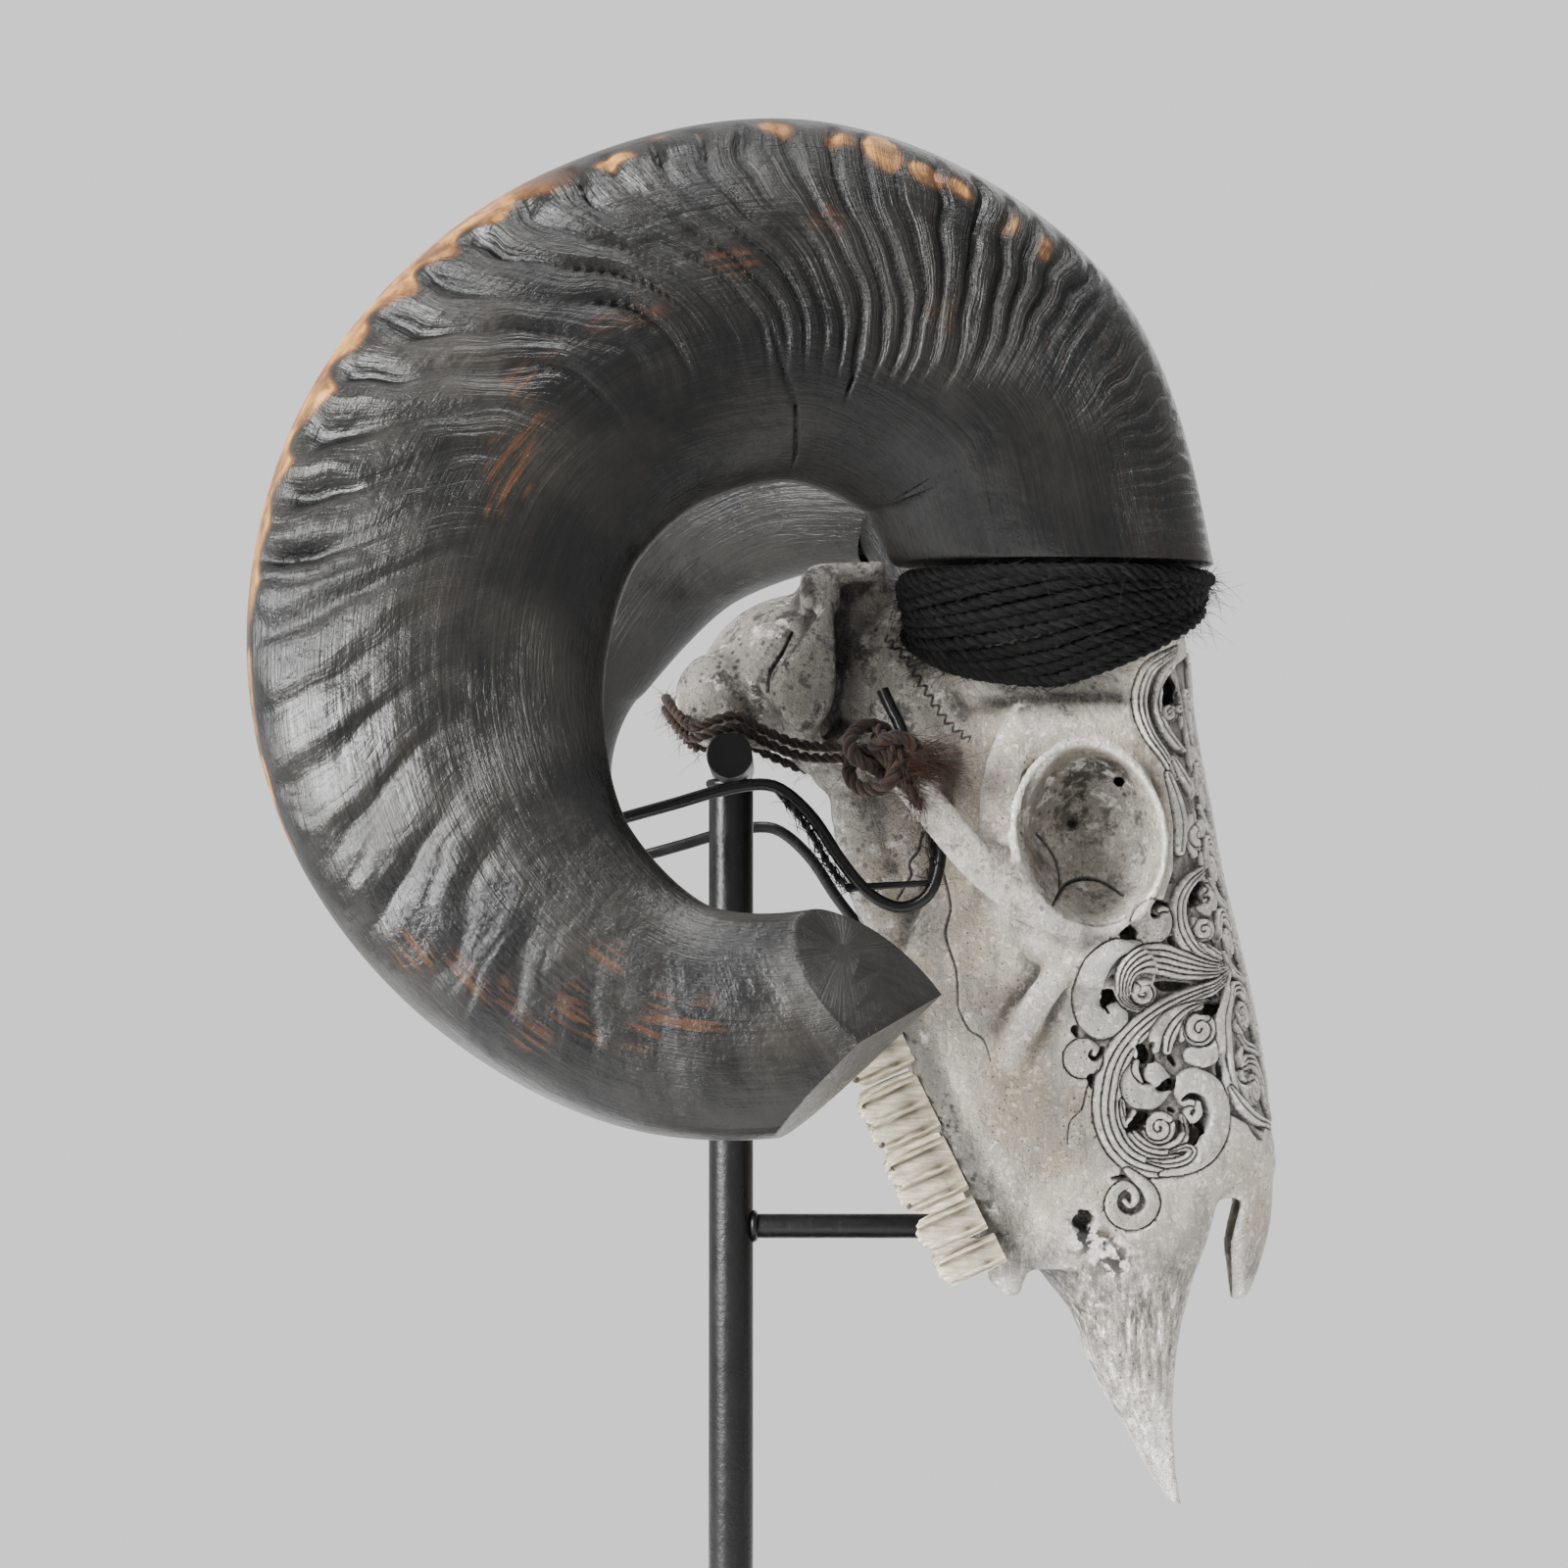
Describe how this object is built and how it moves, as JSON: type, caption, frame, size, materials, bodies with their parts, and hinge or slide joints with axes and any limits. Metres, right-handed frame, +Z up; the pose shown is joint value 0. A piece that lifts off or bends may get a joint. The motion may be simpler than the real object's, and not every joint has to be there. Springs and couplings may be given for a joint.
{
  "type": "carved ram skull on a stand",
  "caption": "Ram skull with tightly curled ridged horns, scroll carving down its face and rope-bound horn roots, tied nose down to a steel post stand.",
  "frame": {"origin": "point of the base plate's underside directly below the post's axis", "axes": "+X to the side that the brow and nose face, +Y to the animal's left side, +Z up"},
  "size_m": [0.2809, 0.338, 0.4522],
  "materials": {
    "bone": "dry matt bone with dark patina in its pits and carving",
    "tooth_enamel": "ridged ivory enamel, satin",
    "horn": "black stained horn sheath, satin, worn brown at the outer edge",
    "black_rope": "laid fibre rope, dyed black, hairy",
    "coir": "dark brown coir cord, frayed ends",
    "black_steel": "black waxed steel, satin, welded"
  },
  "bodies": {
    "root": {"skull": "bone", "tooth_right_m3": "tooth_enamel", "tooth_right_m2": "tooth_enamel", "tooth_right_m1": "tooth_enamel", "tooth_right_p4": "tooth_enamel", "tooth_right_p3": "tooth_enamel", "horn_right": "horn", "horn_rope_right": "black_rope", "tooth_left_m3": "tooth_enamel", "tooth_left_m2": "tooth_enamel", "tooth_left_m1": "tooth_enamel", "tooth_left_p4": "tooth_enamel", "tooth_left_p3": "tooth_enamel", "horn_left": "horn", "horn_rope_left": "black_rope", "tie_cord": "coir", "stand_base": "black_steel", "stand_post": "black_steel", "stand_crossbar": "black_steel", "stand_arm": "black_steel", "cradle_wire": "black_steel"}
  },
  "joints": []
}
